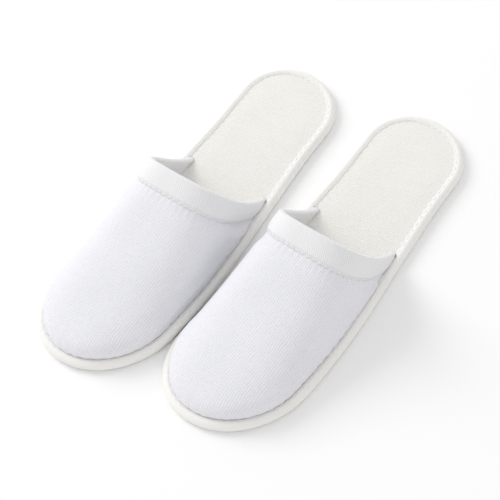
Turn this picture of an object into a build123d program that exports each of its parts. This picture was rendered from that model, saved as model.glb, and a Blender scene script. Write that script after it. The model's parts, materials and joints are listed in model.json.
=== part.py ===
from build123d import *
from math import cos, sin, pi, sqrt, radians
import os

# A pair of closed-toe spa slippers, in millimetres. +Z is up and the toes point along -Y.
# The origin is the middle of the pair's footprint, on the floor.
# A station is the distance along one slipper from its heel end, so a station of 0 is the heel.

# Sole outline: the tight loop round circles, each with its place across, its station and its radius
slipper_length = 290.0
heel_radius = 38.0
heel_shift = 1.1
side_station = 166.7        # the side circle gives the sole its bow to one side
side_radius = 46.8
side_shift = 5.7
ball_station = 235.4        # widest part, at the ball of the foot
ball_radius = 47.7
ball_shift = 4.9
toe_radius = 42.7
toe_shift = 1.1

# Sole layers, from the floor up
outsole_thickness = 3.0
board_thickness = 1.0
padding_thickness = 1.8
cover_thickness = 0.8

# Edge binding: one tape folded round the rim of the layers
tape_thickness = 0.8
flap_width = 6.5            # how far the tape reaches in over the sole
flap_clearance = 0.4        # between the tape's edge and the tread or the upper
floor_clearance = 0.2       # the folded tape stays just off the floor
rim_flat = 0.4              # height of the straight band between the fold's two rounds

# Stitching
stitch_length = 4.4
stitch_width = 0.8
stitch_height = 0.4
stitch_pitch = 6.2
stitch_inset = 5.2          # the binding's seam, from the outline
hem_stitch_length = 3.2
hem_stitch_pitch = 4.4

# Upper: three layers, with a turned hem round the throat
towelling_thickness = 1.2
wadding_thickness = 1.6
lining_thickness = 0.8
hem_thickness = 0.8
layer_gap = 0.05            # the soft layers lie this far apart
hem_width = 15.8
hem_seam = 14.2             # seam line, from the throat edge
throat_height = 59.0        # top of the throat, above the insole
toe_height = 15.0           # top of the toe, above the insole
throat_top_station = 161.0
wing_station = 110.0        # where the throat meets the sole on both sides
throat_power = 0.75         # bends the throat's slope
vamp_power = 1.5            # bends the line from the throat down to the toe
nose_length = 26.0          # the toe rounds down over this length
arch_power = 2.8            # squareness of the arched sections
ridge_shift = -5.0          # the top leans over to one side
arch_steps = 10
station_steps = 9
nose_tip = 0.6              # the last section stands this far short of the toe
throat_steps = 8
throat_margin = 5.3         # the throat's cut runs this far above the upper
hem_seam_margin = 0.06      # radians left free at each end of the seam
hem_seam_steps = 300
hem_seam_tries = 40

# Flex line: the heel half bends up behind the upper
flex_station = 98.0
flex_gap = 0.3

# The pair
pair_gap = 3.5              # between the two outlines, across
pair_stagger = 12.8
toe_turn = -0.9             # degrees between the two slippers

edge_steps = 180
rim_bottom = floor_clearance + tape_thickness
board_bottom = outsole_thickness
padding_bottom = board_bottom + board_thickness
cover_bottom = padding_bottom + padding_thickness
insole_top = cover_bottom + cover_thickness
binding_top = insole_top + tape_thickness
rim_round = (binding_top - floor_clearance - rim_flat) / 2
core_round = rim_round - tape_thickness
upper_inset = flap_width + flap_clearance + hem_thickness
wall_thickness = towelling_thickness + wadding_thickness + lining_thickness
upper_start = wing_station - 2 * hem_thickness
flex_line = slipper_length / 2 - flex_station


outline_circles = [
    (heel_shift, heel_radius, heel_radius),
    (side_shift, side_station, side_radius),
    (ball_shift, ball_station, ball_radius),
    (toe_shift, slipper_length - toe_radius, toe_radius),
]


def outline_reach(angle, inset):
    # How far the outline reaches in a direction, from the point at the heel end's middle.
    reaches = []
    for across, station, radius in outline_circles:
        reaches.append(across * cos(angle) - station * sin(angle) + radius - inset)
    return max(reaches)


def outline_points(inset, steps):
    # Points round the outline, each where the tangent lines of two near directions cross.
    points = []
    for step in range(steps):
        angle = 2 * pi * step / steps
        ahead = angle + 2 * pi / steps
        first = outline_reach(angle, inset)
        second = outline_reach(ahead, inset)
        across = (first * sin(ahead) - second * sin(angle)) / sin(ahead - angle)
        back = (second * cos(angle) - first * cos(ahead)) / sin(ahead - angle)
        points.append((across, back + slipper_length / 2))
    return points


def side_edge(station, inset, side):
    # The outline's edge at a station: the tightest of the tangent lines on that side.
    edges = []
    for step in range(1, edge_steps):
        angle = pi * step / edge_steps - pi / 2
        turn = angle if side > 0 else pi - angle
        edges.append((outline_reach(turn, inset) + station * sin(turn)) / cos(turn))
    return min(edges) if side > 0 else max(edges)


def turned(point, degrees):
    across, along = point
    angle = radians(degrees)
    return across * cos(angle) - along * sin(angle), across * sin(angle) + along * cos(angle)


# Both slippers have the same outline. They are placed so that the pair is centred on the origin.
pair_spacing = outline_reach(0, 0) + outline_reach(pi, 0) + pair_gap
placings = {"right": (0.0, 0.0, 0.0), "left": (pair_spacing, pair_stagger, toe_turn)}
footprint = []
for across, along, degrees in placings.values():
    for point in outline_points(0, edge_steps):
        spot = turned(point, degrees)
        footprint.append((across + spot[0], along + spot[1]))
middle_x = (min(x for x, y in footprint) + max(x for x, y in footprint)) / 2
middle_y = (min(y for x, y in footprint) + max(y for x, y in footprint)) / 2


def slipper_plane(side):
    across, along, degrees = placings[side]
    angle = radians(degrees)
    return Plane(
        origin=(across - middle_x, along - middle_y, 0),
        x_dir=(cos(angle), sin(angle), 0),
        z_dir=(0, 0, 1),
    )


def outline_face(base, height, inset):
    with BuildSketch(base.offset(height)) as face:
        for across, station, radius in outline_circles:
            with Locations((across, slipper_length / 2 - station)):
                Circle(radius - inset)
        make_hull()
    return face.sketch


def along_slipper(base, way):
    return base.x_dir * way.X + base.y_dir * way.Y + base.z_dir * way.Z


def cut_at_flex(base, half):
    # The sole bends at the flex line, so each layer is a front piece and a heel piece.
    shift = flex_gap / 2 if half == "heel" else -flex_gap / 2
    keep = Keep.TOP if half == "heel" else Keep.BOTTOM
    spot = base.from_local_coords((0, flex_line + shift, 0))
    split(bisect_by=Plane(origin=spot, x_dir=base.x_dir, z_dir=base.y_dir), keep=keep)


def rounded_plate(base, bottom, top, inset, radius):
    # A plate in the shape of the outline, with both of its edges rounded.
    with BuildPart() as plate:
        extrude(outline_face(base, bottom, inset), amount=top - bottom)
        fillet(faces().filter_by(Axis.Z).edges(), radius)
    return plate.part


def sole_layer(base, stack, half, bottom, top):
    # One sheet of the sole: a slice of the round-edged stack that the tape is folded over.
    with BuildPart() as layer:
        add(stack)
        if bottom > rim_bottom:
            split(bisect_by=base.offset(bottom), keep=Keep.TOP)
        if top < insole_top:
            split(bisect_by=base.offset(top), keep=Keep.BOTTOM)
        if bottom < rim_bottom:
            tread = outline_face(base, bottom, flap_width + flap_clearance)
            extrude(tread, amount=rim_bottom - bottom)
        cut_at_flex(base, half)
    return layer


def edge_binding(base, stack, half):
    # The tape is folded round the rim: a rounded plate with the stack and the middle taken out.
    middle = outline_face(base, floor_clearance, flap_width)
    with BuildPart() as tape:
        add(rounded_plate(base, floor_clearance, binding_top, 0, rim_round))
        cut_at_flex(base, half)
        add(stack, mode=Mode.SUBTRACT)
        extrude(middle, amount=binding_top - floor_clearance, mode=Mode.SUBTRACT)
    return tape


def seam_spots(inset, pitch):
    # Places at even steps round a line inside the outline, each with its direction.
    ring = outline_points(inset, 2 * edge_steps)
    spots = []
    run = 0.0
    for start, end in zip(ring, ring[1:]):
        way = Vector(end[0] - start[0], end[1] - start[1])
        run += way.length
        if run >= pitch:
            run -= pitch
            spots.append((end, way))
    return spots


def binding_stitches(base, half):
    sign = 1 if half == "heel" else -1
    with BuildPart() as seam:
        for spot, way in seam_spots(stitch_inset, stitch_pitch):
            if sign * (spot[1] - flex_line) > stitch_length:
                place = Plane(
                    origin=base.from_local_coords((spot[0], spot[1], binding_top)),
                    x_dir=along_slipper(base, way),
                    z_dir=base.z_dir,
                )
                with BuildSketch(place):
                    Rectangle(stitch_length, stitch_width)
        extrude(amount=stitch_height)
    return seam


def ridge_height(station, depth):
    # The top line falls from the throat to the toe and rounds down over the nose.
    # Depth is how far inside the outer towelling the line runs.
    nose_end = slipper_length - upper_inset
    left = max(nose_end - nose_length / 2 - station, 0)
    share = left / (nose_end - nose_length / 2 - throat_top_station)
    line = toe_height + (throat_height - toe_height) * share**vamp_power
    nose = min(max((station - nose_end + nose_length) / (nose_length - depth), 0), 1)
    return (line - depth) * sqrt(1 - nose**2)


def arch_point(station, depth, angle):
    # A point of the arched section at a station: a squared half ellipse that leans over.
    one_edge = side_edge(station, upper_inset + depth, 1)
    other_edge = side_edge(station, upper_inset + depth, -1)
    width = (one_edge - other_edge) / 2
    rise = abs(sin(angle)) ** (2 / arch_power)
    side = 1 if cos(angle) >= 0 else -1
    across = (one_edge + other_edge) / 2 + side * width * abs(cos(angle)) ** (2 / arch_power)
    lean = ridge_shift * rise * width / ball_radius
    return across + lean, ridge_height(station, depth) * rise


def station_plane(base, station):
    spot = base.from_local_coords((0, slipper_length / 2 - station, insole_top))
    return Plane(origin=spot, x_dir=base.x_dir, z_dir=-base.y_dir)


def upper_form(base, depth):
    # The solid form of the upper, at a depth inside its outer face, from behind the throat to the toe.
    reach = slipper_length - upper_inset - depth - nose_tip - upper_start
    with BuildPart() as form:
        for step in range(station_steps + 1):
            station = upper_start + reach * sin(pi / 2 * step / station_steps)
            arch = []
            for turn in range(arch_steps + 1):
                arch.append(arch_point(station, depth, pi * turn / arch_steps))
            with BuildSketch(station_plane(base, station)):
                with BuildLine():
                    Spline(*arch)
                    Line(arch[-1], arch[0])
                make_face()
        loft(ruled=True)
    return form.part


def throat_station(height):
    # Where the throat edge stands at a height above the insole.
    share = max(height, 0) / throat_height
    return wing_station + (throat_top_station - wing_station) * share**throat_power


def region_by_throat(base, shift, behind):
    # Everything behind, or ahead of, the throat edge moved towards the toe by a shift.
    top = ridge_height(upper_start, 0) + throat_margin
    edge = []
    for step in range(throat_steps + 1):
        height = top * (step / throat_steps) ** 2
        edge.append((slipper_length / 2 - throat_station(height) - shift, insole_top + height))
    far = slipper_length if behind else -slipper_length
    with BuildPart() as region:
        with BuildSketch(Plane(origin=base.origin, x_dir=base.y_dir, z_dir=base.x_dir)):
            with BuildLine():
                Spline(*edge)
                Polyline(edge[-1], (far, edge[-1][1]), (far, edge[0][1]), edge[0])
            make_face()
        extrude(amount=slipper_length, both=True)
    return region.part


def upper_layer(base, outside, inside):
    # One layer of the upper, between two depths, cut off along the throat.
    with BuildPart() as layer:
        add(upper_form(base, outside))
        add(upper_form(base, inside - layer_gap), mode=Mode.SUBTRACT)
        add(region_by_throat(base, 0, True), mode=Mode.SUBTRACT)
    return layer


def throat_hem(base):
    # A strip folded over the throat edge, with one flap outside the upper and one inside it.
    with BuildPart() as filling:
        add(upper_form(base, -layer_gap))
        add(upper_form(base, wall_thickness), mode=Mode.SUBTRACT)
        add(region_by_throat(base, -layer_gap, True), mode=Mode.SUBTRACT)
    with BuildPart() as hem:
        add(upper_form(base, -hem_thickness))
        add(upper_form(base, wall_thickness + hem_thickness), mode=Mode.SUBTRACT)
        add(region_by_throat(base, -hem_thickness, True), mode=Mode.SUBTRACT)
        add(region_by_throat(base, hem_width, False), mode=Mode.SUBTRACT)
        add(filling.part, mode=Mode.SUBTRACT)
    return hem


def hem_point(angle):
    # A point of the hem's seam: the arch and the moved throat edge meet after a few tries.
    station = wing_station + hem_seam
    for _ in range(hem_seam_tries):
        across, height = arch_point(station, -hem_thickness, angle)
        station = (station + throat_station(height) + hem_seam) / 2
    return Vector(across, slipper_length / 2 - station, insole_top + height)


def hem_stitches(base):
    centre = Vector(0, slipper_length / 2 - throat_top_station, insole_top)
    with BuildPart() as seam:
        run = 0.0
        last = hem_point(hem_seam_margin)
        for step in range(1, hem_seam_steps):
            spot = hem_point(hem_seam_margin + (pi - 2 * hem_seam_margin) * step / hem_seam_steps)
            way = spot - last
            run += way.length
            last = spot
            if run >= hem_stitch_pitch:
                run -= hem_stitch_pitch
                face_out = way.cross(way.cross(centre - spot))
                place = Plane(
                    origin=base.from_local_coords(spot - face_out.normalized() * stitch_height / 2),
                    x_dir=along_slipper(base, way),
                    z_dir=along_slipper(base, face_out),
                )
                with BuildSketch(place):
                    Rectangle(hem_stitch_length, stitch_width)
        extrude(amount=stitch_height)
    return seam


def save(piece, node):
    piece.part.label = node
    export_step(piece.part, f"parts/{node}.step")


os.makedirs("parts", exist_ok=True)

for side in placings:
    floor = slipper_plane(side)
    stack = rounded_plate(floor, rim_bottom, insole_top, tape_thickness, core_round)
    for half in ("front", "heel"):
        save(sole_layer(floor, stack, half, 0, board_bottom), f"{side}_outsole_{half}")
        save(sole_layer(floor, stack, half, board_bottom, padding_bottom), f"{side}_insole_board_{half}")
        save(sole_layer(floor, stack, half, padding_bottom, cover_bottom), f"{side}_insole_padding_{half}")
        save(sole_layer(floor, stack, half, cover_bottom, insole_top), f"{side}_insole_cover_{half}")
        save(edge_binding(floor, stack, half), f"{side}_edge_binding_{half}")
        save(binding_stitches(floor, half), f"{side}_binding_stitches_{half}")
    wadding_depth = towelling_thickness
    lining_depth = towelling_thickness + wadding_thickness
    save(upper_layer(floor, 0, wadding_depth), f"{side}_upper_towelling")
    save(upper_layer(floor, wadding_depth, lining_depth), f"{side}_upper_wadding")
    save(upper_layer(floor, lining_depth, wall_thickness), f"{side}_upper_lining")
    save(throat_hem(floor), f"{side}_throat_hem")
    save(hem_stitches(floor), f"{side}_hem_stitches")
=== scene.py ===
import bmesh
import bpy
import json
import math
import numpy as np
from mathutils import Matrix, Vector


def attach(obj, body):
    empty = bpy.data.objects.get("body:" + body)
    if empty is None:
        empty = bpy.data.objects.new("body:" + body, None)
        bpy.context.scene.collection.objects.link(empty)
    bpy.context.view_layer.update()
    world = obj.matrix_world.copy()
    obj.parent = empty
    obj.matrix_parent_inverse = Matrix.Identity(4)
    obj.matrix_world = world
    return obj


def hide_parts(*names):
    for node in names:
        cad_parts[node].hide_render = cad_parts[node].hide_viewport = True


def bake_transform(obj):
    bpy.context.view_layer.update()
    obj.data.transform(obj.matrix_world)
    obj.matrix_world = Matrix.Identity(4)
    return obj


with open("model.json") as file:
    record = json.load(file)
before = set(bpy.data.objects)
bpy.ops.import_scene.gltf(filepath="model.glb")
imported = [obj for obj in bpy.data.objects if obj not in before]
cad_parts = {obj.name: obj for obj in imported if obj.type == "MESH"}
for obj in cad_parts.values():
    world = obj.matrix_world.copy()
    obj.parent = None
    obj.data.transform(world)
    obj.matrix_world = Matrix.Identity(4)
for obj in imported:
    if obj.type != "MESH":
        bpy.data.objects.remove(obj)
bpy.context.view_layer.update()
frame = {"record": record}

# Sizes are in millimetres on one slipper: across, station from the heel end, height.
# toWorld turns them into metres in the frame.
sole = {
    "length": 290.0,
    "heelHalfWidth": 38.0,      # the heel is a half circle
    "ballHalfWidth": 47.7,
    "toeLength": 55.0,          # the toe is half an ellipse
    "waistStation": 58.5,       # the sides widen from here
    "bow": 7.0,                 # the middle line bows to one side
    "bowSkew": -1.4,
    "flexStation": 98.0,        # where the sole bends
    "bendReach": 13.0,          # half the length that bends
    "outsoleTop": 3.0,
    "boardTop": 4.0,
    "paddingTop": 5.75,
    "coverBottom": 5.8,
    "insoleTop": 6.6,
    "layerGap": 0.02,
    "crown": 0.55,
    "unevenness": 0.14,
    "treadRise": 1.0,           # the rim stands this far above the tread
    "grooveDepth": 0.45,
    "groovePitch": 9.0,
    "zigzagWidth": 14.0,
    "zigzagDepth": 2.5,
}
binding = {
    "flap": 6.5,
    "bottom": 0.2,
    "top": 7.45,
    "round": 3.5,
    "tape": 0.8,
    "seam": 5.1,
    "pitch": 6.2,
    "stitch": 4.6,
    "pull": 0.55,               # how far a stitch pulls the flap in and down
    "puff": 0.35,
    "sink": 0.28,               # the flap's edge is pressed into the insole
    "taper": 0.38,              # the flap's edge thins by this
    "thread": 0.75,
    "steps": 1000,
}
upper = {
    "inset": 6.4,
    "throatHeight": 59.0,
    "toeHeight": 17.0,
    "topStation": 161.0,
    "wingStation": 110.0,
    "throatPower": 0.75,
    "vampPower": 1.5,
    "nose": 27.0,
    "square": 2.8,
    "lean": -5.0,
    "towelling": 1.2,
    "wadding": 1.6,
    "lining": 0.8,
    "gap": 0.05,
    "drop": 0.9,                # the inner layers lie this far in, clear of the hem's inner flap
    "columns": 400,
    "rows": 92,
    "innerColumns": 150,
    "innerRows": 46,
}
relief = {
    "underHem": 0.9,            # the towelling is pressed in under the hem
    "groove": 0.6,              # and again along the seam
    "allowance": 0.35,          # the band below the seam lies a little low
    "body": 1.5,                # then the body swells out
    "settle": 0.6,              # and settles again towards the toe
    "foot": 1.1,                # a soft roll round the foot
    "footPlace": 9.0,
    "footGathers": 0.28,
    "footPitch": 7.4,
    "seamGathers": 0.22,
    "unevenness": 0.16,
    "waves": 7,
}
hem = {
    "width": 15.6,
    "seam": 14.4,
    "lip": 1.9,                 # how far the fold stands past the layers
    "pitch": 4.3,
    "stitch": 3.3,
    "thread": 0.6,
    "tape": 0.8,
    "innerGap": 1.0,
    "flare": 1.1,               # the lip leans outwards at the top of the throat
    "ripple": 0.12,
    "ease": 0.22,
    "shelfSteps": 30,
}
rng = np.random.default_rng(7)


def places():
    # Each slipper's place comes from its flex hinge: a point on the flex line and the way across.
    found = {}
    for joint in frame["record"]["behaviour"]["joints"]:
        if joint["type"] == "hinge":
            side = joint["name"].split("_")[0]
            found[side] = (np.array(joint["pos_m"]), np.array(joint["axis"]))
    return found


slippers = places()


def toWorld(side, points):
    # World place = hinge point + across along the hinge + distance from the flex line along the sole.
    pivot, across = slippers[side]
    along = np.array([-across[1], across[0], 0])
    points = np.asarray(points, float)
    run = sole["flexStation"] - points[..., 1:2]
    spot = points[..., 0:1] * across + run * along
    spot = spot / 1000 + np.array([pivot[0], pivot[1], 0])
    spot[..., 2] = points[..., 2] / 1000
    return spot


def middleLine(station):
    # One arch over the length plus a smaller double arch.
    share = np.pi * station / sole["length"]
    return sole["bow"] * np.sin(share) + sole["bowSkew"] * np.sin(2 * share)


def outline(count):
    # The sole's edge, evenly spaced by length, from the heel up the right side, over the toe and back:
    # half circle at the heel, an S-shaped widening, half ellipse at the toe. Gives points and outward ways.
    turn = np.linspace(0, 2 * np.pi, 8001)               # finely, so that even spacing is exact
    station = sole["length"] / 2 * (1 - np.cos(turn))
    toeCentre = sole["length"] - sole["toeLength"]
    spread = np.clip((station - sole["waistStation"]) / (toeCentre - sole["waistStation"]), 0, 1)
    widening = sole["ballHalfWidth"] - sole["heelHalfWidth"]
    width = sole["heelHalfWidth"] + widening * spread**2 * (3 - 2 * spread)
    heel = np.clip((sole["heelHalfWidth"] - station) / sole["heelHalfWidth"], 0, 1)
    toe = np.clip((station - toeCentre) / sole["toeLength"], 0, 1)
    half = width * np.sqrt(1 - heel**2) * np.sqrt(1 - toe**2)
    across = middleLine(station) + np.where(turn <= np.pi, half, -half)
    run = np.concatenate([[0], np.cumsum(np.hypot(np.diff(across), np.diff(station)))])
    even = np.linspace(0, run[-1], count + 1)[:-1]
    points = np.stack([np.interp(even, run, across), np.interp(even, run, station)], -1)
    way = np.roll(points, -1, 0) - np.roll(points, 1, 0)
    way /= np.linalg.norm(way, axis=1, keepdims=True)
    outward = np.stack([way[:, 1], -way[:, 0]], -1)
    return points, outward, even, run[-1]


def innerEdges(inset):
    # The right and the left edge of the outline moved inwards, as across against station.
    points, outward, _, _ = outline(1600)
    moved = points - outward * inset
    tip = int(np.argmax(moved[:, 1]))
    heelEnd = int(np.argmin(moved[:, 1]))
    wraps = heelEnd > tip                                # the heel end may be just before the first point
    right = np.concatenate([moved[heelEnd:], moved[:tip + 1]]) if wraps else moved[heelEnd:tip + 1]
    left = moved[tip:heelEnd + 1] if wraps else moved[tip:]
    return right, left[::-1]


def ridgeHeight(station, depth):
    # The top line falls as a power curve from the throat to the toe, then rounds off as an ellipse.
    noseEnd = sole["length"] - upper["inset"]
    bend = noseEnd - upper["nose"] / 2
    share = np.clip(bend - station, 0, None) / (bend - upper["topStation"])
    line = upper["toeHeight"] + (upper["throatHeight"] - upper["toeHeight"]) * share ** upper["vampPower"]
    nose = np.clip((station - noseEnd + upper["nose"]) / (upper["nose"] - depth), 0, 1)
    return (line - depth) * np.sqrt(1 - nose**2)


def archFrame(station, depth):
    # For each station: the top line's across and the half widths to its right and its left.
    right, left = innerEdges(upper["inset"] + depth)
    rightEdge = np.interp(station, right[:, 1], right[:, 0])
    leftEdge = np.interp(station, left[:, 1], left[:, 0])
    width = (rightEdge - leftEdge) / 2
    ridge = (rightEdge + leftEdge) / 2 + upper["lean"] * width / sole["ballHalfWidth"]
    return ridge, rightEdge - ridge, ridge - leftEdge


def archHeight(across, station, depth):
    # Height of the arched section: a squared half ellipse on each side of the top line.
    ridge, rightHalf, leftHalf = archFrame(station, depth)
    half = np.where(across > ridge, rightHalf, leftHalf)
    share = np.clip(np.abs(across - ridge) / np.maximum(half, 1e-6), 0, 1)
    power = upper["square"]
    return ridgeHeight(station, depth) * (1 - share**power) ** (1 / power)


def throatStation(height):
    # The throat edge leans towards the toe as it rises.
    share = np.clip(height, 0, None) / upper["throatHeight"]
    lean = upper["topStation"] - upper["wingStation"]
    return upper["wingStation"] + lean * share ** upper["throatPower"]


def rimLine(count, start=0.03):
    # Along the throat edge from the right wing over the top to the left wing:
    # station, share of the arch's height, and which side.
    turn = np.linspace(start, np.pi - start, count)
    height = upper["throatHeight"] * np.sin(turn)
    station = throatStation(height)
    share = np.clip(height / ridgeHeight(station, 0), 0, 1)
    return station, share, np.where(turn < np.pi / 2, 1.0, -1.0)


def archPoint(station, share, sign, depth):
    # The point at a share of the arch's height, at a depth under the outer face.
    ridge, rightHalf, leftHalf = archFrame(station, depth)
    half = np.where(sign > 0, rightHalf, leftHalf)
    power = upper["square"]
    across = ridge + sign * half * np.clip(1 - share**power, 0, 1) ** (1 / power)
    height = ridgeHeight(station, depth) * share
    return np.stack([across, station, height + sole["insoleTop"]], -1)


def smooth(low, high, value):
    # An S-shaped step from 0 at low to 1 at high.
    share = np.clip((value - low) / (high - low), 0, 1)
    return share * share * (3 - 2 * share)


def gridNormals(grid):
    # Cross product of the two grid ways.
    first = np.gradient(grid, axis=0)
    second = np.gradient(grid, axis=1)
    normal = np.cross(first, second)
    return normal / np.maximum(np.linalg.norm(normal, axis=-1, keepdims=True), 1e-9)


def gridFaces(rows, columns, closeRows=False, closeColumns=False, first=0, flip=False):
    # Quads of a grid of rows by columns, which may run round in either way.
    a = np.arange(rows if closeRows else rows - 1)
    b = np.arange(columns if closeColumns else columns - 1)
    a, b = np.meshgrid(a, b, indexing="ij")
    nextA, nextB = (a + 1) % rows, (b + 1) % columns
    corners = [a * columns + b, nextA * columns + b, nextA * columns + nextB, a * columns + nextB]
    quads = np.stack(corners, -1)
    quads = quads.reshape(-1, 4) + first
    return quads[:, ::-1] if flip else quads


def closedSkin(outer, inner):
    # Two grids of the same size joined round their edges into one closed skin.
    rows, columns = outer.shape[:2]
    size = rows * columns
    ring = np.concatenate([
        np.arange(columns),
        np.arange(1, rows) * columns + columns - 1,
        (rows - 1) * columns + np.arange(columns - 2, -1, -1),
        np.arange(rows - 2, 0, -1) * columns,
    ])
    ahead = np.roll(ring, -1)
    rim = np.stack([ring, ahead, ahead + size, ring + size], -1)
    faces = np.concatenate([
        gridFaces(rows, columns),
        gridFaces(rows, columns, first=size, flip=True),
        rim,
    ])
    points = np.concatenate([outer.reshape(-1, 3), inner.reshape(-1, 3)])
    return points, faces


def makePiece(name, side, points, faces, uv, material, merge=0.0):
    # Puts the arrays into a mesh at the origin, with its own UV map in metres.
    mesh = bpy.data.meshes.new(name)
    mesh.from_pydata(toWorld(side, points).tolist(), [], faces.tolist())
    layer = mesh.uv_layers.new(name="cloth")
    corner = np.zeros(len(mesh.loops), np.int64)
    mesh.loops.foreach_get("vertex_index", corner)
    layer.data.foreach_set("uv", np.asarray(uv, np.float32)[corner].ravel())
    mesh.materials.append(material)
    piece = bpy.data.objects.new(name, mesh)
    bpy.context.scene.collection.objects.link(piece)
    work = bmesh.new()
    work.from_mesh(mesh)
    if merge:
        bmesh.ops.remove_doubles(work, verts=work.verts, dist=merge / 1000)
        bmesh.ops.dissolve_degenerate(work, dist=merge / 4000, edges=work.edges)
    bmesh.ops.recalc_face_normals(work, faces=work.faces)
    for face in work.faces:
        face.smooth = True
    work.to_mesh(mesh)
    work.free()
    return piece


def bendWithSole(piece):
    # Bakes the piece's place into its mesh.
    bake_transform(piece)


def addNode(tree, kind, links=(), **settings):
    # A shader node with its settings. Each link is a socket and either another node's output or a value.
    node = tree.nodes.new(kind)
    for key, value in settings.items():
        setattr(node, key, value)
    for socket, source in links:
        if hasattr(source, "is_linked"):
            tree.links.new(source, node.inputs[socket])
        else:
            node.inputs[socket].default_value = source
    return node


def maths(tree, operation, first, second=0.0, third=0.0):
    values = [(0, first), (1, second), (2, third)]
    return addNode(tree, "ShaderNodeMath", values, operation=operation).outputs[0]


def noise(tree, place, scale, detail):
    settings = [("Vector", place), ("Scale", scale), ("Detail", detail)]
    return addNode(tree, "ShaderNodeTexNoise", settings).outputs[0]


def wave(tree, turns):
    # A sine of a number of whole turns, from 0 to 1.
    sine = maths(tree, "SINE", maths(tree, "MULTIPLY", turns, math.tau))
    return maths(tree, "MULTIPLY_ADD", sine, 0.5, 0.5)


def newGroup(name, inputs, outputs):
    group = bpy.data.node_groups.new(name, "ShaderNodeTree")
    for label, kind in inputs:
        group.interface.new_socket(label, in_out="INPUT", socket_type=kind)
    for label, kind in outputs:
        group.interface.new_socket(label, in_out="OUTPUT", socket_type=kind)
    return group, group.nodes.new("NodeGroupInput"), group.nodes.new("NodeGroupOutput")


ribInputs = ("Turn", "Pitch", "Loop", "Wander", "Pile")


def buildRibGroup():
    # Ribs across the first way of the cloth, with loops along each rib: sine of place over pitch,
    # wandered by noise, times a slower sine along the rib that is set off by half from rib to rib.
    number = "NodeSocketFloat"
    group, start, end = newGroup(
        "ribbedCloth",
        [("Place", "NodeSocketVector")] + [(label, number) for label in ribInputs],
        [("Height", number), ("Tone", number)],
    )
    given = start.outputs
    turning = [("Vector", given["Place"]), ("Angle", given["Turn"])]
    turned = addNode(group, "ShaderNodeVectorRotate", turning, rotation_type="Z_AXIS").outputs[0]
    split = addNode(group, "ShaderNodeSeparateXYZ", [(0, turned)])
    soft = noise(group, turned, 140.0, 2.0)
    shake = maths(group, "MULTIPLY", maths(group, "SUBTRACT", soft, 0.5), given["Wander"])
    ribTurns = maths(group, "ADD", maths(group, "DIVIDE", split.outputs[0], given["Pitch"]), shake)
    setOff = maths(group, "MULTIPLY", maths(group, "FLOOR", ribTurns), 0.5)
    loopTurns = maths(group, "ADD", maths(group, "DIVIDE", split.outputs[1], given["Loop"]), setOff)
    loopShare = maths(group, "MULTIPLY_ADD", wave(group, loopTurns), 0.35, 0.65)
    height = maths(group, "MULTIPLY", wave(group, ribTurns), loopShare)
    fuzz = noise(group, given["Place"], 1700.0, 3.0)
    loose = maths(group, "MULTIPLY", maths(group, "SUBTRACT", fuzz, 0.5), given["Pile"])
    # Tone is the rib height plus fibre fuzz: painted shade in the grooves between ribs, with random fibre
    # tone on top.
    group.links.new(maths(group, "MULTIPLY_ADD", loose, 1.6, height), end.inputs["Height"])
    group.links.new(maths(group, "MULTIPLY_ADD", loose, 1.3, height), end.inputs["Tone"])
    return group


def buildPatchGroup():
    # Slow patches of tone: two sizes of noise, mixed.
    inputs = [("Place", "NodeSocketVector"), ("Size", "NodeSocketFloat")]
    group, start, end = newGroup("softPatches", inputs, [("Tone", "NodeSocketFloat")])
    broad = noise(group, start.outputs["Place"], start.outputs["Size"], 3.0)
    fine = noise(group, start.outputs["Place"], 420.0, 4.0)
    mixed = maths(group, "MULTIPLY_ADD", fine, 0.45, maths(group, "MULTIPLY", broad, 0.55))
    group.links.new(mixed, end.inputs["Tone"])
    return group


ribGroup = buildRibGroup()
patchGroup = buildPatchGroup()
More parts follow.
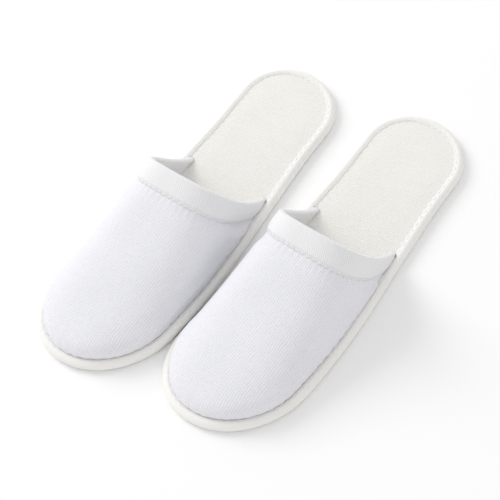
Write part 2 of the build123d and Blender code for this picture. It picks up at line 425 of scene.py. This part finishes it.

# Each cloth: colours in linear light, rib pitch and loop length in metres, rib turn in radians. The dark
# colour is painted shade in the rib grooves together with darker random patches.
cloths = {
    "towelling": {
        "light": (0.885, 0.885, 0.925), "dark": (0.72, 0.72, 0.77),
        "pitch": 0.00165, "loop": 0.0021, "turn": 0.0, "wander": 1.2,
        "bump": 0.4, "deep": 0.0005, "rough": 0.95, "sheen": 0.3, "pile": 1.7,
    },
    "hemCloth": {
        "light": (0.875, 0.875, 0.885), "dark": (0.745, 0.745, 0.76),
        "pitch": 0.0013, "loop": 0.0011, "turn": 0.25, "wander": 1.4,
        "bump": 0.35, "deep": 0.0004, "rough": 0.95, "sheen": 0.3, "pile": 1.0,
    },
    "insole": {
        "light": (0.925, 0.912, 0.88), "dark": (0.77, 0.75, 0.70),
        "pitch": 0.00155, "loop": 0.0019, "turn": math.radians(-74), "wander": 1.1,
        "bump": 0.5, "deep": 0.0005, "rough": 0.92, "sheen": 0.15, "pile": 0.6,
    },
    "tape": {
        "light": (0.94, 0.93, 0.905), "dark": (0.80, 0.785, 0.75),
        "pitch": 0.0011, "loop": 0.0012, "turn": math.radians(28), "wander": 0.5,
        "bump": 0.3, "deep": 0.0004, "rough": 0.9, "sheen": 0.15, "pile": 0.35,
    },
    "lining": {
        "light": (0.87, 0.87, 0.865), "dark": (0.76, 0.76, 0.76),
        "pitch": 0.0008, "loop": 0.0008, "turn": 0.3, "wander": 0.4,
        "bump": 0.2, "deep": 0.0002, "rough": 0.9, "sheen": 0.2, "pile": 0.3,
    },
    "foam": {
        "light": (0.90, 0.895, 0.87), "dark": (0.80, 0.79, 0.76),
        "pitch": 0.004, "loop": 0.004, "turn": 0.8, "wander": 3.0,
        "bump": 0.15, "deep": 0.0002, "rough": 0.75, "sheen": 0.0, "pile": 0.3,
    },
    "board": {
        "light": (0.80, 0.76, 0.68), "dark": (0.66, 0.61, 0.52),
        "pitch": 0.003, "loop": 0.02, "turn": 0.1, "wander": 2.0,
        "bump": 0.15, "deep": 0.0001, "rough": 0.85, "sheen": 0.0, "pile": 0.4,
    },
    "thread": {
        "light": (0.96, 0.96, 0.955), "dark": (0.86, 0.86, 0.85),
        "pitch": 0.0005, "loop": 0.0009, "turn": 0.7, "wander": 0.1,
        "bump": 0.5, "deep": 0.0002, "rough": 0.7, "sheen": 0.1, "pile": 0.1,
    },
}
toneFrom, toneTo = 0.12, 0.68        # the span of tone between dark and light
patchScale = 28.0                    # patches in a metre


def clothMaterial(name):
    # Ribs and patches set the colour between light and dark, the ribs raise the surface. The dark end is
    # painted shade in the rib grooves and darker random patches of tone.
    look = cloths[name]
    material = bpy.data.materials.new(name)
    material.use_nodes = True
    tree = material.node_tree
    shader = tree.nodes["Principled BSDF"]
    place = addNode(tree, "ShaderNodeUVMap", uv_map="cloth").outputs[0]
    ribs = addNode(tree, "ShaderNodeGroup", node_tree=ribGroup)
    for label in ribInputs:
        ribs.inputs[label].default_value = look[label.lower()]
    tree.links.new(place, ribs.inputs["Place"])
    patches = addNode(tree, "ShaderNodeGroup", node_tree=patchGroup)
    patches.inputs["Size"].default_value = patchScale
    tree.links.new(place, patches.inputs["Place"])
    patchTone = maths(tree, "MULTIPLY", patches.outputs["Tone"], 0.62)
    # The rib part of the tone is painted shade in the grooves between ribs.
    tone = maths(tree, "MULTIPLY_ADD", ribs.outputs["Tone"], 0.62, patchTone)
    ramp = addNode(tree, "ShaderNodeValToRGB", [("Fac", tone)])
    ramp.color_ramp.elements[0].position = toneFrom
    ramp.color_ramp.elements[0].color = (*look["dark"], 1)
    ramp.color_ramp.elements[1].position = toneTo
    ramp.color_ramp.elements[1].color = (*look["light"], 1)
    tree.links.new(ramp.outputs[0], shader.inputs["Base Color"])
    raised = [("Height", ribs.outputs["Height"]), ("Strength", look["bump"]), ("Distance", look["deep"])]
    bump = addNode(tree, "ShaderNodeBump", raised)
    tree.links.new(bump.outputs[0], shader.inputs["Normal"])
    rough = maths(tree, "MULTIPLY_ADD", patches.outputs["Tone"], -0.08, look["rough"])
    tree.links.new(rough, shader.inputs["Roughness"])
    shader.inputs["Sheen Weight"].default_value = look["sheen"]
    shader.inputs["Sheen Roughness"].default_value = 0.5
    shader.inputs["Specular IOR Level"].default_value = 0.25
    return material


materials = {name: clothMaterial(name) for name in cloths}
print("materials ready")


def soleSlab(name, side, inset, topOf, bottomOf, material, rings, count):
    # A closed slab: each outline point is joined to the nearest point of a spine down the middle,
    # and rings run between them. topOf and bottomOf give heights from place and distance to the edge.
    points, outward, _, _ = outline(count)
    edge = points - outward * inset
    pair = (edge[:, 1] + np.roll(edge[::-1, 1], 1)) / 2      # both sides meet the spine at shared points
    spineStation = np.clip(pair, sole["heelHalfWidth"], sole["length"] - sole["toeLength"])
    spine = np.stack([middleLine(spineStation), spineStation], -1)
    share = np.linspace(0, 1, rings) ** 0.8
    flat = spine[:, None] + (edge - spine)[:, None] * share[None, :, None]
    reach = np.linalg.norm(edge - spine, axis=1)[:, None] * (1 - share)[None]
    top = np.concatenate([flat, topOf(flat, reach)[..., None]], -1)
    bottom = np.concatenate([flat, bottomOf(flat, reach)[..., None]], -1)
    size = count * rings
    last = np.arange(count) * rings + rings - 1
    ahead = np.roll(last, -1)
    rim = np.stack([last, ahead, ahead + size, last + size], -1)
    faces = np.concatenate([
        gridFaces(count, rings, closeRows=True),
        gridFaces(count, rings, closeRows=True, first=size, flip=True),
        rim,
    ])
    allPoints = np.concatenate([top.reshape(-1, 3), bottom.reshape(-1, 3)])
    return makePiece(name, side, allPoints, faces, allPoints[:, :2] / 1000, material, merge=0.02)


def level(height):
    # A flat face at one height.
    return lambda flat, reach: np.full(reach.shape, height)


def treadHeight(flat, reach):
    # A raised middle with shallow zigzag grooves: a triangle wave of place along the sole.
    zigzag = flat[..., 1] + sole["zigzagDepth"] * np.abs((flat[..., 0] / sole["zigzagWidth"]) % 2 - 1)
    swell = 0.5 - 0.5 * np.cos(2 * np.pi * zigzag / sole["groovePitch"])
    groove = sole["grooveDepth"] * smooth(0.75, 1.0, swell) * smooth(9.0, 13.0, reach)
    return groove + sole["treadRise"] * (1 - smooth(5.2, 6.0, reach))


def insoleHeight(flat, reach):
    # A padded top: a slight crown that rises from the seam, with broad soft unevenness.
    crown = sole["crown"] * smooth(2.0, 16.0, reach)
    broad = sole["unevenness"] * np.sin(flat[..., 0] / 9.0 + 1.3) * np.sin(flat[..., 1] / 13.0)
    return sole["insoleTop"] + crown + broad * smooth(4, 12, reach)


def makeSole(side):
    # Four slabs from the floor up, each with its inset from the outline, its faces, rings and edge points.
    gap = sole["layerGap"]
    tops = [level(sole[key]) for key in ("outsoleTop", "boardTop", "paddingTop")] + [insoleHeight]
    bottoms = [treadHeight, level(sole["outsoleTop"] + gap)]
    bottoms += [level(sole["boardTop"] + gap), level(sole["coverBottom"])]
    slabs = (
        ("Outsole", "outsole", "foam_sole", "foam", 1.0, 60, 520),
        ("InsoleBoard", "insole_board", "insole_board", "board", 1.0, 14, 260),
        ("InsolePadding", "insole_padding", "insole_foam", "foam", 1.6, 14, 260),
        ("InsoleCover", "insole_cover", "insole_knit", "insole", 3.2, 50, 400),
    )
    for (name, node, slot, cloth, inset, rings, count), top, bottom in zip(slabs, tops, bottoms):
        piece = soleSlab(f"{side}{name}", side, inset, top, bottom, materials[cloth], rings, count)
        bendWithSole(piece)
        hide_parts(f"{side}_{node}_front", f"{side}_{node}_heel")


def makeBinding(side):
    # A tape folded round the rim: a flap, half an ellipse and a flap, carried round the outline.
    # Between stitches the flap puffs up, and each stitch pulls it in and down.
    points, outward, even, total = outline(binding["steps"])
    seams = max(round(total / binding["pitch"]), 8)
    phase = np.cos(2 * np.pi * even / total * seams)       # 1 at the middle of a stitch
    turn = np.linspace(0, np.pi, 15)
    middle = (binding["top"] + binding["bottom"]) / 2
    tall = (binding["top"] - binding["bottom"]) / 2
    curl = binding["round"] - binding["round"] * np.sin(turn)
    lift = middle + tall * np.cos(turn)
    flapIn = np.linspace(binding["flap"], binding["round"], 8)[:-1]
    inset = np.concatenate([flapIn, curl, flapIn[::-1]])
    height = np.concatenate([np.full(7, binding["top"]), lift, np.full(7, binding["bottom"])])
    tape = binding["tape"]
    innerCurl = binding["round"] - (binding["round"] - tape) * np.sin(turn[::-1])
    innerLift = middle + (tall - tape) * np.cos(turn[::-1])
    inset = np.concatenate([inset, flapIn, innerCurl, flapIn[::-1]])
    lowInside, highInside = np.full(7, binding["bottom"] + tape), np.full(7, binding["top"] - tape)
    height = np.concatenate([height, lowInside, innerLift, highInside])
    inset = np.broadcast_to(inset, (len(points), len(inset))).copy()
    height = np.broadcast_to(height, inset.shape).copy()
    isTop = (height > middle).astype(float)
    outerFace = (height > binding["top"] - tape / 2).astype(float)
    near = np.exp(-((inset - binding["seam"]) / 0.8) ** 2)
    pull = 0.5 + 0.5 * phase[:, None]
    slack = np.sin(even / 3.1)[:, None] * 0.10 + np.sin(even / 7.7 + 2.0)[:, None] * 0.12
    height += isTop * (binding["puff"] * np.exp(-((inset - 3.6) / 1.5) ** 2) * (1.0 - 0.35 * pull))
    height -= isTop * near * (0.22 + binding["pull"] * 0.6 * pull)
    height += isTop * smooth(5.4, 6.4, inset) * (0.12 * (1 - pull) - binding["sink"])
    height -= outerFace * smooth(5.0, 6.5, inset) * binding["taper"]
    inset += smooth(5.6, 6.5, inset) * (slack * 1.4 + binding["pull"] * (pull - 0.5) * 1.6) * isTop
    wobble = 0.12 * np.sin(even / 11.0 + 0.6)[:, None] + 0.05 * np.sin(even / 2.3)[:, None]
    inset += (1 - smooth(0, 3.2, inset)) * wobble
    flat = points[:, None] - outward[:, None] * inset[..., None]
    grid = np.concatenate([flat, height[..., None]], -1)
    steps = np.linalg.norm(np.diff(grid[0], axis=0, append=grid[0][:1]), axis=1)
    around = np.concatenate([[0], np.cumsum(steps)[:-1]])
    uv = np.stack(np.broadcast_arrays(even[:, None], around[None]), -1).reshape(-1, 2) / 1000
    faces = gridFaces(len(points), grid.shape[1], closeRows=True, closeColumns=True)
    piece = makePiece(f"{side}EdgeBinding", side, grid.reshape(-1, 3), faces, uv, materials["tape"])
    bendWithSole(piece)
    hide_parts(f"{side}_edge_binding_front", f"{side}_edge_binding_heel")
    return seams, total


def threadPieces(name, side, centres, ways, ups, length, thick, sink, material):
    # Stitches: a short round thread bent down at both ends, repeated at each place.
    along = np.linspace(-0.5, 0.5, 9)
    around = np.linspace(0, 2 * np.pi, 7)[:-1]
    radius = thick / 2 * np.sqrt(np.clip(1 - (2 * along) ** 8, 0.02, 1))
    dip = -sink * (2 * along) ** 4
    crossWay = np.cross(ups, ways)
    ring = np.stack(np.broadcast_arrays(
        along[:, None] * length,
        radius[:, None] * np.cos(around)[None],
        dip[:, None] + 0.7 * radius[:, None] * np.sin(around)[None],
    ), -1)
    ends = np.array([[-0.5 * length - 0.05, 0, dip[0]], [0.5 * length + 0.05, 0, dip[-1]]])
    local = np.concatenate([ring.reshape(-1, 3), ends])
    count = len(local)
    faces = gridFaces(9, 6, closeColumns=True)
    ringIndex = np.arange(6)
    nextIndex = (ringIndex + 1) % 6
    first = np.stack([np.full(6, 54), ringIndex, nextIndex, nextIndex], -1)
    last = np.stack([np.full(6, 55), 48 + nextIndex, 48 + ringIndex, 48 + ringIndex], -1)
    places = (
        centres[:, None] + local[None, :, 0:1] * ways[:, None]
        + local[None, :, 1:2] * crossWay[:, None] + local[None, :, 2:3] * ups[:, None]
    )
    quads = [face.tolist() for face in faces]
    caps = [face[:3].tolist() for face in np.concatenate([first, last])]
    allFaces = []
    for index in range(len(centres)):
        allFaces += [[corner + index * count for corner in face] for face in quads + caps]
    mesh = bpy.data.meshes.new(name)
    mesh.from_pydata(toWorld(side, places.reshape(-1, 3)).tolist(), [], allFaces)
    layer = mesh.uv_layers.new(name="cloth")
    corner = np.zeros(len(mesh.loops), np.int64)
    mesh.loops.foreach_get("vertex_index", corner)
    uv = np.tile(np.stack([local[:, 0], local[:, 1] + local[:, 2]], -1), (len(centres), 1)) / 1000
    layer.data.foreach_set("uv", uv.astype(np.float32)[corner].ravel())
    mesh.materials.append(material)
    mesh.polygons.foreach_set("use_smooth", np.ones(len(mesh.polygons), bool))
    piece = bpy.data.objects.new(name, mesh)
    bpy.context.scene.collection.objects.link(piece)
    work = bmesh.new()
    work.from_mesh(mesh)
    bmesh.ops.recalc_face_normals(work, faces=work.faces)
    work.to_mesh(mesh)
    work.free()
    return piece


def makeBindingStitches(side, seams, total):
    # One stitch at every low point of the flap.
    points, outward, even, _ = outline(binding["steps"])
    middle = np.arange(seams) * total / seams
    spot = np.stack([np.interp(middle, even, points[:, k]) for k in (0, 1)], -1)
    out = np.stack([np.interp(middle, even, outward[:, k]) for k in (0, 1)], -1)
    out /= np.linalg.norm(out, axis=1, keepdims=True)
    centre = spot - out * binding["seam"]
    height = np.full(seams, binding["top"] - 0.22 - binding["pull"] * 0.45 + 0.25)
    centres = np.concatenate([centre, height[:, None]], -1)
    ways = np.stack([-out[:, 1], out[:, 0], np.zeros(seams)], -1)
    ways[:, :2] += out * rng.uniform(-0.10, 0.02, (seams, 1))
    ways /= np.linalg.norm(ways, axis=1, keepdims=True)
    ups = np.tile([0.0, 0.0, 1.0], (seams, 1))
    piece = threadPieces(f"{side}BindingStitches", side, centres, ways, ups,
                         binding["stitch"], binding["thread"], 0.5, materials["thread"])
    bendWithSole(piece)
    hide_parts(f"{side}_binding_stitches_front", f"{side}_binding_stitches_heel")


def lengthAlong(points):
    # The running length of a line of points.
    return np.concatenate([[0], np.cumsum(np.linalg.norm(np.diff(points, axis=0), axis=1))])


def upperGrid(depth, columns, rows):
    # Columns run from the sole's inner edge round the toe up to the throat edge. Each is straight in
    # plan, closely spaced at the foot, and takes its height from the arched section.
    points, outward, _, _ = outline(4000)
    edge = points - outward * (upper["inset"] + depth)
    edge = edge[edge[:, 1] > upper["wingStation"] + 1.0]
    run = lengthAlong(edge)
    even = np.linspace(0, run[-1], columns)
    foot = np.stack([np.interp(even, run, edge[:, k]) for k in (0, 1)], -1)
    station, share, sign = rimLine(1200)
    rim = archPoint(station, share, sign, depth)
    rimRun = lengthAlong(rim)
    rimEven = np.linspace(0, rimRun[-1], columns)
    top = np.stack([np.interp(rimEven, rimRun, rim[:, k]) for k in (0, 1, 2)], -1)
    share = (np.linspace(0, 1, rows) ** 2.0)[None, :, None]
    flat = foot[:, None] + (top[:, None, :2] - foot[:, None]) * share
    height = archHeight(flat[..., 0], flat[..., 1], depth) + sole["insoleTop"]
    height[:, -1] = top[:, 2]
    return np.concatenate([flat, height[..., None]], -1), even, rimEven


def ribPlace(grid):
    # Place across the ribs: the length of the arched section from the top line out to each point.
    ridge, rightHalf, leftHalf = archFrame(grid[..., 1], 0)
    rightSide = grid[..., 0] > ridge
    half = np.where(rightSide, rightHalf, leftHalf)
    top = ridgeHeight(grid[..., 1], 0)
    share = np.clip((grid[..., 2] - sole["insoleTop"]) / np.maximum(top, 1e-3), 0, 1)
    power = upper["square"]
    steps = np.linspace(0, 1, 33)
    level = 1 - (1 - share[..., None]) * steps              # from the top line down to the point
    across = np.clip(1 - level**power, 0, 1) ** (1 / power) * half[..., None]
    rise = level * top[..., None]
    length = np.hypot(np.diff(across, axis=-1), np.diff(rise, axis=-1)).sum(-1)
    return np.where(rightSide, length, -length)


def upperRelief(outer, even, rimEven):
    # How far the towelling stands off its smooth form: pressed in under the hem and along the seam, then
    # swelling, with a soft roll and gathers round the foot. Distances run along the cloth from the foot
    # and from the throat edge, the second being the way along the slipper times the slopes' share.
    steps = np.cumsum(np.linalg.norm(np.diff(outer, axis=1), axis=-1), axis=1)
    fromFoot = np.concatenate([np.zeros((len(outer), 1)), steps], 1)
    station = outer[..., 1]
    fall = ridgeHeight(station + 0.5, 0) - ridgeHeight(station - 0.5, 0)
    rise = outer[..., 2] - sole["insoleTop"]
    slope = np.abs(fall) * rise / np.maximum(ridgeHeight(station, 0), 1e-3)
    lag = throatStation(rise + 0.5) - throatStation(rise - 0.5)
    fromRim = (station - throatStation(rise)) * np.sqrt(1 + slope**2) / (1 + slope * lag)
    seam = hem["seam"]
    lift = -relief["underHem"] * (1 - smooth(seam - 1.5, seam + 0.5, fromRim))
    lift -= relief["groove"] * np.exp(-((fromRim - seam - 0.6) / 1.3) ** 2)
    lift -= relief["allowance"] * smooth(seam, seam + 2, fromRim) * (1 - smooth(seam + 5, seam + 9, fromRim))
    lift += relief["body"] * smooth(seam + 4.5, seam + 14, fromRim)
    lift -= relief["settle"] * smooth(seam + 20, seam + 60, fromRim)
    roll = np.exp(-((fromFoot - relief["footPlace"]) / 6.5) ** 2)
    lift += relief["foot"] * roll * smooth(seam + 3, seam + 16, fromRim)
    gathers = np.sin(2 * np.pi * even / relief["footPitch"] + 1.5 * np.sin(even / 31))
    lift += relief["footGathers"] * gathers[:, None] * np.exp(-fromFoot / 5.0)
    pulls = np.sin(2 * np.pi * rimEven / hem["pitch"])
    lift += relief["seamGathers"] * pulls[:, None] * np.exp(-np.abs(fromRim - seam - 1.5) / 3.0)
    body = smooth(seam + 2, seam + 14, fromRim)
    for _ in range(relief["waves"]):
        way = rng.uniform(0.035, 0.11, 2) * rng.choice([-1, 1], 2)
        swell = np.sin(outer[..., 0] * way[0] + station * way[1] + rng.uniform(0, 6))
        lift += relief["unevenness"] * body * swell
    return lift * (smooth(-0.5, 2.5, fromFoot) * 0.85 + 0.15)


def clothPlace(grid):
    # UV in metres for both faces of a skin: the length out from the top line, and the station.
    uv = np.stack([ribPlace(grid), grid[..., 1]], -1).reshape(-1, 2) / 1000
    return np.concatenate([uv, uv])


def facingOut(grid):
    # Grid normals turned so that the middle one points up.
    normal = gridNormals(grid)
    rows, columns = grid.shape[:2]
    return normal * np.sign(normal[rows // 2, columns // 2, 2])


def makeTowelling(side):
    # The outer pile cloth: the smooth form lifted by its relief, one cloth's thickness deep.
    outer, even, rimEven = upperGrid(0.0, upper["columns"], upper["rows"])
    normal = facingOut(outer)
    lift = upperRelief(outer, even, rimEven)
    shown = outer + normal * lift[..., None]
    inner = outer + normal * (np.minimum(lift, 0.2) - upper["towelling"])[..., None]
    points, faces = closedSkin(shown, inner)
    name = f"{side}UpperTowelling"
    towelling = makePiece(name, side, points, faces, clothPlace(outer), materials["towelling"])
    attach(towelling, f"{side}_forefoot")
    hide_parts(f"{side}_upper_towelling")
    return towelling


def makeInnerLayer(side, name, node, near, far, drop):
    # A smooth skin between two depths under the outer face, moved in by its drop.
    outerSkin, _, _ = upperGrid(near, upper["innerColumns"], upper["innerRows"])
    innerSkin, _, _ = upperGrid(far, upper["innerColumns"], upper["innerRows"])
    shift = facingOut(outerSkin) * drop
    points, faces = closedSkin(outerSkin - shift, innerSkin - shift)
    piece = makePiece(f"{side}{name}", side, points, faces, clothPlace(outerSkin), materials["lining"])
    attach(piece, f"{side}_forefoot")
    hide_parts(f"{side}_{node}")
    return piece


def makeUpper(side):
    # Towelling, wadding and lining from the outside in.
    towelling = makeTowelling(side)
    gap, drop = upper["gap"], upper["drop"]
    near = upper["towelling"]
    far = near + upper["wadding"]
    wadding = makeInnerLayer(side, "UpperWadding", "upper_wadding", near + gap, far - gap, drop)
    deepest = far + upper["lining"]
    lining = makeInnerLayer(side, "UpperLining", "upper_lining", far, deepest, drop + gap)


def hemSection():
    # The fold's closed U section as distance from the throat edge and depth under the outer face:
    # outer flap, rounded lip, inner flap, and back round the inside of the fold.
    wall = upper["towelling"] + upper["wadding"] + upper["lining"] + hem["innerGap"]
    seam, width = hem["seam"], hem["width"]
    out = np.linspace(width, 0, 22)
    swell = 0.75 * np.sin(np.pi * np.clip(out / seam, 0, 1)) ** 0.8
    outDepth = 1.15 * smooth(seam - 1.6, seam, out) - 0.55 - swell
    lipTurn = np.linspace(0, np.pi, 11)[1:-1]
    lip = -hem["lip"] * np.sin(lipTurn)
    lipDepth = (wall + 0.55) / 2 - 0.55 - (wall + 0.55) / 2 * np.cos(lipTurn)
    back = np.linspace(0, width, 16)
    backDepth = wall - 0.25 * smooth(seam - 2, seam, back)
    inside = np.linspace(width, 0, 12)
    fold = -(hem["lip"] - hem["tape"]) * np.sin(lipTurn[::-1])
    foldDepth = (wall - 0.1) / 2 - (wall - 1.3) / 2 * np.cos(lipTurn[::-1])
    under = np.linspace(0, width, 12)
    shift = np.concatenate([out, lip, back, inside, fold, under])
    depth = [outDepth, lipDepth, backDepth, np.full(12, wall - 0.75), foldDepth, np.full(12, 0.5)]
    return shift, np.concatenate(depth)


def hemGrid(rim, stretch, shift):
    # Points of the outer face at distances from the throat edge, for every place along it.
    station, share, sign = rim
    moved = station[:, None] + shift[None] * stretch[:, None]
    wide = [np.broadcast_to(values[:, None], moved.shape) for values in (share, sign)]
    return archPoint(moved, *wide, 0.0)


def makeHem(side):
    # The section is carried along the throat edge, with ripples at the stitches, ease and a flared lip.
    rim = rimLine(360, start=0.02)
    station, share, sign = rim
    fall = np.abs(ridgeHeight(station + 0.5, 0) - ridgeHeight(station - 0.5, 0)) * share
    stretch = 1 / np.sqrt(1 + fall**2)
    run = lengthAlong(archPoint(station, share, sign, 0.0))
    shift, depth = hemSection()
    onCloth = np.clip(shift, 0, None)
    nearSeam = np.exp(-((shift - hem["seam"]) / 2.5) ** 2)
    ripple = hem["ripple"] * np.sin(2 * np.pi * run / hem["pitch"])[:, None] * nearSeam[None]
    ease = hem["ease"] * np.sin(run / 13.0 + 0.8)[:, None] * np.sin(onCloth / 6.0)[None]
    flare = -hem["flare"] * np.exp(-onCloth / 5.0)[None] * share[:, None]
    depths = depth[None] + (ripple + ease) * (depth < 0.3)[None] + flare
    last = hem["shelfSteps"] - 1
    ways = facingOut(hemGrid(rim, stretch, np.linspace(0, hem["width"], last + 1)))
    pick = np.round(np.clip(shift, 0, hem["width"]) / hem["width"] * last).astype(int)
    points = hemGrid(rim, stretch, shift) - ways[:, pick] * depths[..., None]
    points[..., 2] = np.maximum(points[..., 2], sole["insoleTop"] + 0.15)
    rows, size = points.shape[:2]
    ends = [capFaces(np.arange(size)), capFaces((rows - 1) * size + np.arange(size))]
    faces = np.concatenate([gridFaces(rows, size, closeColumns=True)] + ends)
    around = lengthAlong(points[rows // 2])
    uv = np.stack(np.broadcast_arrays(run[:, None], around[None]), -1).reshape(-1, 2) / 1000
    piece = makePiece(f"{side}ThroatHem", side, points.reshape(-1, 3), faces, uv, materials["hemCloth"])
    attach(piece, f"{side}_forefoot")
    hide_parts(f"{side}_throat_hem")
    seamWays = ways[:, round(hem["seam"] / hem["width"] * last) - 1]
    seam = archPoint(station + hem["seam"] * stretch, share, sign, 0.0) + seamWays * 0.25
    makeHemStitches(side, seam, seamWays)


def makeHemStitches(side, seam, seamWays):
    # Stitches at even steps along the seam, each lying along it and facing out.
    seamRun = lengthAlong(seam)
    spots = np.arange(4.0, seamRun[-1] - 4.0, hem["pitch"])

    def along(places, values):
        return np.stack([np.interp(places, seamRun, values[:, k]) for k in range(3)], -1)

    centres, ups = along(spots, seam), along(spots, seamWays)
    ups /= np.linalg.norm(ups, axis=1, keepdims=True)
    ways = along(spots + 0.5, seam) - centres
    ways /= np.linalg.norm(ways, axis=1, keepdims=True)
    sizes = (hem["stitch"], hem["thread"], 0.35)
    stitches = threadPieces(f"{side}HemStitches", side, centres, ways, ups, *sizes, materials["thread"])
    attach(stitches, f"{side}_forefoot")
    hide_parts(f"{side}_hem_stitches")


def capFaces(loop):
    # Closes the end of a folded strip: the outer and the inner side of its section are joined in pairs.
    half = len(loop) // 2
    first, second = loop[:half], loop[::-1][:half]
    return np.stack([first[:-1], first[1:], second[1:], second[:-1]], -1)


for side in slippers:
    makeSole(side)
    seams, total = makeBinding(side)
    makeBindingStitches(side, seams, total)
    makeUpper(side)
    makeHem(side)
    print(side, "slipper ready")


view = {
    "azimuth": 42.34,
    "elevation": 55.7,
    "roll": -7.03,
    "distance": 1.0128,
    "lens": 106.39,
    "target": (-0.00216, -0.00946, 0.0),
}


def makeFloor():
    # A pale plane far wider than the view.
    reach = 15.0
    mesh = bpy.data.meshes.new("floor")
    corners = [(-reach, -reach, 0), (reach, -reach, 0), (reach, reach, 0), (-reach, reach, 0)]
    mesh.from_pydata(corners, [], [(0, 1, 2, 3)])
    floor = bpy.data.objects.new("floor", mesh)
    bpy.context.scene.collection.objects.link(floor)
    material = bpy.data.materials.new("paleFloor")
    material.use_nodes = True
    shader = material.node_tree.nodes["Principled BSDF"]
    shader.inputs["Base Color"].default_value = (0.96, 0.96, 0.96, 1)
    shader.inputs["Roughness"].default_value = 0.9
    mesh.materials.append(material)


def makeLight(name, power, size, place, target=(0, 0, 0.02)):
    # A square soft light that faces its target.
    lamp = bpy.data.lights.new(name, "AREA")
    lamp.energy = power
    lamp.size = size
    light = bpy.data.objects.new(name, lamp)
    spot = np.array(place, float)
    light.location = spot
    way = np.array(target) - spot
    light.rotation_euler = Vector(way).to_track_quat("-Z", "Y").to_euler()
    bpy.context.scene.collection.objects.link(light)


def makeCamera():
    # The camera stands back from its target along azimuth and elevation and is turned by its roll.
    a, e, r = (math.radians(view[key]) for key in ("azimuth", "elevation", "roll"))
    back = np.array([math.sin(a) * math.cos(e), -math.cos(a) * math.cos(e), math.sin(e)])
    right = np.array([math.cos(a), math.sin(a), 0.0])
    up = np.cross(back, right)
    across = right * math.cos(r) + up * math.sin(r)
    upright = up * math.cos(r) - right * math.sin(r)
    place = np.array(view["target"]) + back * view["distance"]
    data = bpy.data.cameras.new("camera")
    data.lens = view["lens"]
    data.sensor_width = 36.0
    data.clip_end = 50
    camera = bpy.data.objects.new("camera", data)
    matrix = np.eye(4)
    matrix[:3, 0], matrix[:3, 1], matrix[:3, 2], matrix[:3, 3] = across, upright, back, place
    camera.matrix_world = Matrix(matrix.tolist())
    bpy.context.scene.collection.objects.link(camera)
    bpy.context.scene.camera = camera


world = bpy.data.worlds.new("studio")
bpy.context.scene.world = world
world.use_nodes = True
world.node_tree.nodes["Background"].inputs[0].default_value = (1.0, 1.0, 1.0, 1)
world.node_tree.nodes["Background"].inputs[1].default_value = 0.80
makeFloor()
makeLight("keyLight", 62.0, 2.0, (-3.0, -0.1, 2.3))
makeCamera()
bpy.context.scene.view_settings.view_transform = "Standard"
print("stage ready")
